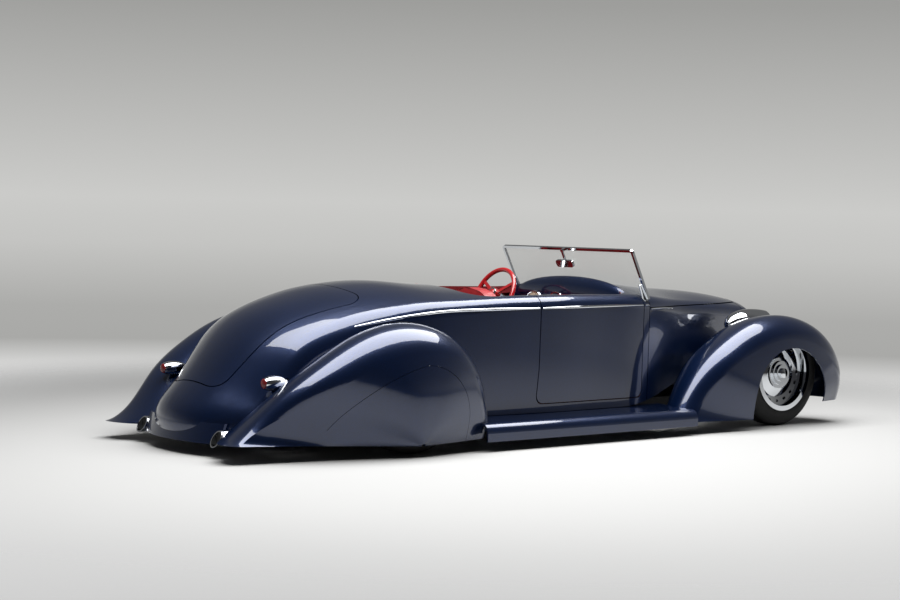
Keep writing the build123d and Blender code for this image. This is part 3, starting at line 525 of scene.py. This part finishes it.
def makeGauge(number, y):
    r = gauges["radius"]
    rim = lathe(f"gauge_rim_{number}", [
        (r * 0.86, 0.0), (r * 0.86, 0.006), (r * 0.90, 0.010), (r * 0.96, 0.011), (r, 0.007),
        (r, -gauges["depth"]),
    ], gauges["segments"])
    smooth(rim, gauges["rimCrease"])
    dial = lathe(f"gauge_dial_{number}", [
        (r * 0.88, 0.0005), (r * 0.88, 0.003), (r * 0.5, 0.0034), (0.0005, 0.0036),
    ], gauges["segments"])
    smooth(dial, gauges["dialCrease"])
    for piece, label, material, slot in (
        (rim, "rim", chrome, "chrome"), (dial, "dial", ivory, "leather"),
        (makeMarks(), "marks", blackPaint, "steel"),
    ):
        piece.rotation_euler = (pi / 2, 0, -pi / 2)  # face to the rear
        piece.location = (gauges["x"], y, gauges["z"])
        settle(piece, f"gauge_{label}_{number}", "chassis", material)


for number, y in enumerate(gauges["places"]):
    makeGauge(number, y)
print("gauges made")

# windshield feet: flared chrome castings where the posts stand on the cowl
feet = {
    "x": 0.680, "y": 0.566, "height": 0.095, "radius": 0.017, "stretch": 1.7, "rake": 26.8,
    "segments": 48, "crease": 50, "startZ": 2.0,
}


def makeFoot(side):
    r, h = feet["radius"], feet["height"]
    piece = lathe(f"windshield_foot_{side}", [
        (r, -0.006), (r, 0.0), (r * 0.92, h * 0.10), (r * 0.74, h * 0.30), (r * 0.60, h * 0.55),
        (r * 0.52, h * 0.80), (r * 0.48, h), (r * 0.20, h * 1.03), (0.0004, h * 1.035),
    ], feet["segments"])
    smooth(piece, feet["crease"])
    above = (feet["x"], sides[side] * feet["y"], feet["startZ"])
    hit, where = nodes["body_shell"].ray_cast(above, (0, 0, -1))[:2]
    piece.scale = (feet["stretch"], 1.0, 1.0)
    piece.rotation_euler = (0, -radians(feet["rake"]), 0)
    piece.location = where
    settle(piece, piece.name, "chassis", chrome)
    return where.z


def makeSurround(height):  # the windshield's frame, its posts cut off where they meet the cowl
    piece = copyNode("windshield_frame", "windshield_surround")
    bpy.ops.object.mode_set(mode="EDIT")
    bpy.ops.mesh.select_all(action="SELECT")
    bpy.ops.mesh.bisect(plane_co=(0, 0, height), plane_no=(0, 0, 1), use_fill=True, clear_inner=True)
    bpy.ops.object.mode_set(mode="OBJECT")
    settle(piece, "windshield_surround", "chassis", chrome)
    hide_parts("windshield_frame")


makeSurround(min(makeFoot(side) for side in sides))
print("windshield feet made")

# exhaust bores: a near-black disc in the mouth of each tip, painted shade of the bore with its soot
bores = {"x": -2.112, "y": 0.383, "z": 0.098, "radius": 0.0345, "depth": 0.004, "segments": 48}


def makeBore(side):
    freeSelection()
    bpy.ops.mesh.primitive_cylinder_add(
        vertices=bores["segments"], radius=bores["radius"], depth=bores["depth"],
        location=(bores["x"], sides[side] * bores["y"], bores["z"]), rotation=(0, pi / 2, 0),
    )
    settle(bpy.context.object, f"exhaust_bore_{side}", "chassis", boreShadeAndSoot)


for side in sides:
    makeBore(side)
print("exhaust bores made")

# horn button: a chrome ring with a red dome in it, on the steering wheel's hub
horn = {
    "centre": (0.266, 0.330, 0.779), "tilt": 25.0, "rise": 0.0195, "radius": 0.034,
    "segments": 48, "crease": 50,
}


def makeHorn():
    r = horn["radius"]
    ring = lathe("horn_ring", [
        (r, 0.0), (r, 0.004), (r * 0.94, 0.008), (r * 0.72, 0.009), (r * 0.68, 0.007), (r * 0.66, 0.004),
    ], horn["segments"])
    dome = lathe("horn_dome", [
        (r * 0.67, 0.003), (r * 0.66, 0.007), (r * 0.55, 0.0105), (r * 0.36, 0.013), (r * 0.16, 0.0142),
        (0.0004, 0.0145),
    ], horn["segments"])
    tilt = radians(horn["tilt"])
    towards = Vector((-cos(tilt), 0, sin(tilt)))
    for piece, material, slot in ((ring, chrome, "chrome"), (dome, redRim, "red_rim")):
        smooth(piece, horn["crease"])
        piece.rotation_euler = towards.to_track_quat("Z", "Y").to_euler()
        piece.location = Vector(horn["centre"]) + towards * horn["rise"]
        settle(piece, piece.name, "steering_wheel", material)


makeHorn()
print("horn button made")

# seats: stuffed, with sewn channels
pad = {
    "voxel": 0.012, "shrink": 0.010, "cap": 0.018, "rollPitch": 0.085, "fill": 0.8,
    "pressure": 4.0, "quality": 4, "steps": 20,
    "seats": {  # node: (depth of the channels, the way its sewn face looks)
        "seat_cushion": (0.010, (0, 0, 1)),
        "seat_back": (0.009, (1, 0, 0)),
    },
}


def inflate(piece):
    bpy.ops.object.modifier_add(type="CLOTH")
    cloth = piece.modifiers[-1]
    cloth.settings.effector_weights.gravity = 0
    cloth.settings.use_pressure = True
    cloth.settings.uniform_pressure_force = pad["pressure"]
    cloth.settings.quality = pad["quality"]
    cloth.collision_settings.use_collision = False
    for step in range(1, pad["steps"] + 1):
        scene.frame_set(step)
    bpy.ops.object.modifier_apply(modifier=cloth.name)
    scene.frame_set(1)


def holdIn(piece, rest, low, high):  # no point swells past the cap or leaves the CAD solid's box
    for vertex, start in zip(piece.data.vertices, rest):
        move = vertex.co - start
        if move.length > pad["cap"]:
            vertex.co = start + move * (pad["cap"] / move.length)
        for axis in range(3):
            vertex.co[axis] = min(max(vertex.co[axis], low[axis]), high[axis])


def sew(piece, groove, towards):
    normals = [v.normal.copy() for v in piece.data.vertices]
    for vertex, normal in zip(piece.data.vertices, normals):
        facing = max(0.0, normal.dot(towards))
        roll = abs(cos(pi * vertex.co.y / pad["rollPitch"]))
        vertex.co -= normal * groove * facing * (1 - roll) ** 2


def makePad(nodeName, groove, top):
    piece = copyNode(nodeName, f"{nodeName}_stuffed")
    bpy.ops.object.mode_set(mode="EDIT")
    bpy.ops.mesh.select_all(action="SELECT")
    bpy.ops.mesh.remove_doubles(threshold=weld)
    bpy.ops.object.mode_set(mode="OBJECT")
    piece.data.remesh_voxel_size = pad["voxel"]
    bpy.ops.object.voxel_remesh()
    for vertex, normal in [(v, v.normal.copy()) for v in piece.data.vertices]:
        vertex.co -= normal * pad["shrink"]
    rest = [v.co.copy() for v in piece.data.vertices]
    inflate(piece)
    holdIn(piece, rest, *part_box(nodeName))
    sew(piece, groove, Vector(top))
    choose(piece)
    bpy.ops.object.modifier_add(type="SUBSURF")
    piece.modifiers[-1].levels = piece.modifiers[-1].render_levels = 1
    bpy.ops.object.modifier_apply(modifier=piece.modifiers[-1].name)
    bpy.ops.object.shade_smooth()
    settle(piece, f"{nodeName}_stuffed", "chassis", hide)
    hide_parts(nodeName)


for nodeName, (groove, top) in pad["seats"].items():
    makePad(nodeName, groove, top)
print("seats stuffed")

# floor, studio light and background
studio = {
    "floor": 40.0, "floorColour": "#B6B6B5", "floorRough": 0.6, "fade": (3.0, 5.8),  # metres from the car
    "fill": 0.5, "openSide": "#39393B", "openTurn": (-0.5, 0.3),
    "span": (-0.30, 0.36),
    "tones": (  # height of the line of sight: colour of the backdrop there
        (-0.30, "#A8A8A7"), (-0.18, "#DCDCDC"), (-0.135, "#F6F6F6"), (-0.10, "#F2F2F2"), (-0.082, "#D6D6D5"),
        (-0.068, "#A9A9A7"), (-0.05, "#ACACAA"), (-0.015, "#C4C4C2"), (0.01, "#CBCBC9"), (0.05, "#BCBCBA"),
        (0.12, "#9E9E9C"), (0.36, "#6A6A6A"),
    ),
}


def makeFloor():  # painted floor, lit near the car and fading into the backdrop
    freeSelection()
    bpy.ops.mesh.primitive_plane_add(size=studio["floor"], location=(0, 0, 0))
    ground = bpy.context.object
    ground.name = "studio_floor"
    material, tree, shader, place = newMaterial(
        "studioFloorPaint", Roughness=studio["floorRough"], Base_Color=hexColour(studio["floorColour"])
    )
    away = addNode(tree, "ShaderNodeVectorMath", {0: place}, operation="LENGTH")
    near, far = studio["fade"]
    fade = addNode(
        tree, "ShaderNodeMapRange",
        {"Value": away.outputs["Value"], "From Min": near, "From Max": far, "To Min": 1.0, "To Max": 0.0},
        interpolation_type="SMOOTHSTEP",
    )
    tree.links.new(fade.outputs[0], shader.inputs["Alpha"])
    dress(ground, material)


def makeBackdrop(sky, direction):  # tones from the floor line up, as heights of the line of sight
    low, high = studio["span"]
    height = addNode(sky, "ShaderNodeSeparateXYZ", {0: direction}).outputs["Z"]
    climb = addNode(sky, "ShaderNodeMapRange", {"Value": height, "From Min": low, "From Max": high})
    ramp = addNode(sky, "ShaderNodeValToRGB", {"Fac": climb.outputs[0]})
    stops = ramp.color_ramp.elements
    stops.remove(stops[1])
    for number, (level, code) in enumerate(studio["tones"]):
        stop = stops[0] if number == 0 else stops.new((level - low) / (high - low))
        stop.color = hexColour(code)
    return ramp.outputs["Color"]


def makeSky():  # grey backdrop ahead of the camera, dimmer on the open side of the studio
    world = bpy.data.worlds.new("studioWorld")
    scene.world = world
    world.use_nodes = True
    sky = world.node_tree
    direction = addNode(sky, "ShaderNodeTexCoord").outputs["Generated"]
    yaw = radians(shot["yaw"])
    ahead = addNode(
        sky, "ShaderNodeVectorMath", {0: direction, 1: (cos(yaw), sin(yaw), 0.0)}, operation="DOT_PRODUCT"
    ).outputs["Value"]
    start, end = studio["openTurn"]
    turned = addNode(sky, "ShaderNodeMapRange", {"Value": ahead, "From Min": start, "From Max": end})
    tone = blend(sky, turned.outputs[0], hexColour(studio["openSide"]), makeBackdrop(sky, direction))
    path = addNode(sky, "ShaderNodeLightPath").outputs
    mirrored = combine(sky, "MAXIMUM", path["Is Glossy Ray"], path["Is Transmission Ray"])
    seen = combine(sky, "MAXIMUM", path["Is Camera Ray"], mirrored)
    background = sky.nodes["Background"]
    sky.links.new(tone, background.inputs["Color"])
    sky.links.new(spread(sky, seen, studio["fill"], 1.0), background.inputs["Strength"])


# one wide softbox over the car
softbox = {"place": (-0.3, -0.9, 4.4), "aim": (-0.3, -0.9, 0.0), "width": 7.8, "length": 3.4, "watts": 680.0}


def addSoftbox():
    towards = Vector(softbox["aim"]) - Vector(softbox["place"])
    freeSelection()
    bpy.ops.object.light_add(type="AREA", location=softbox["place"])
    lamp = bpy.context.object
    lamp.name = "overheadSoftbox"
    lamp.data.shape = "RECTANGLE"
    lamp.data.size = softbox["width"]
    lamp.data.size_y = softbox["length"]
    lamp.data.energy = softbox["watts"]
    lamp.rotation_mode = "QUATERNION"
    lamp.rotation_quaternion = towards.to_track_quat("-Z", "Y")


makeFloor()
makeSky()
addSoftbox()
print("studio lit")
